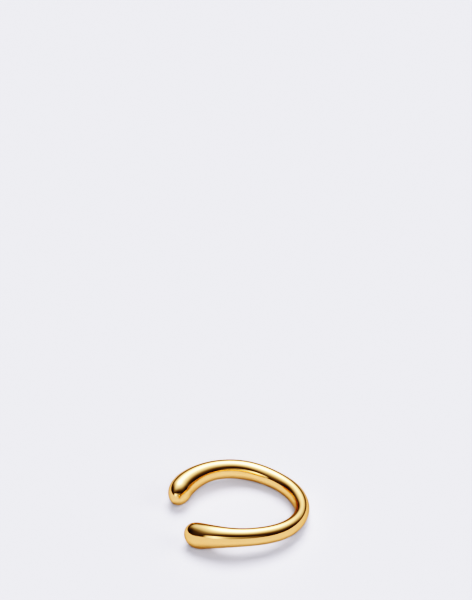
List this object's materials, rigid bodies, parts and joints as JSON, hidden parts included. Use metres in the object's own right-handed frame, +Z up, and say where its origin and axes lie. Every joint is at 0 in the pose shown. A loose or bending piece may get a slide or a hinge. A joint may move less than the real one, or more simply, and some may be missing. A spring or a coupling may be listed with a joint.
{
  "type": "ear cuff",
  "caption": "Open C-shaped ear cuff of polished gold-coloured metal, slim at the bend and swelling to a rounded drop at each end, with gently arched arms.",
  "frame": {"origin": "on the surface the cuff lies on, under the middle of its bounding box", "axes": "+X from the open mouth between the drops to the bend, +Y from the near, arched arm to the far arm, +Z up from the surface"},
  "size_m": [0.014, 0.0126, 0.0032],
  "materials": {
    "polished_gold": "mirror-polished gold plating"
  },
  "bodies": {
    "root": {"cuff_band": "polished_gold"}
  },
  "joints": []
}
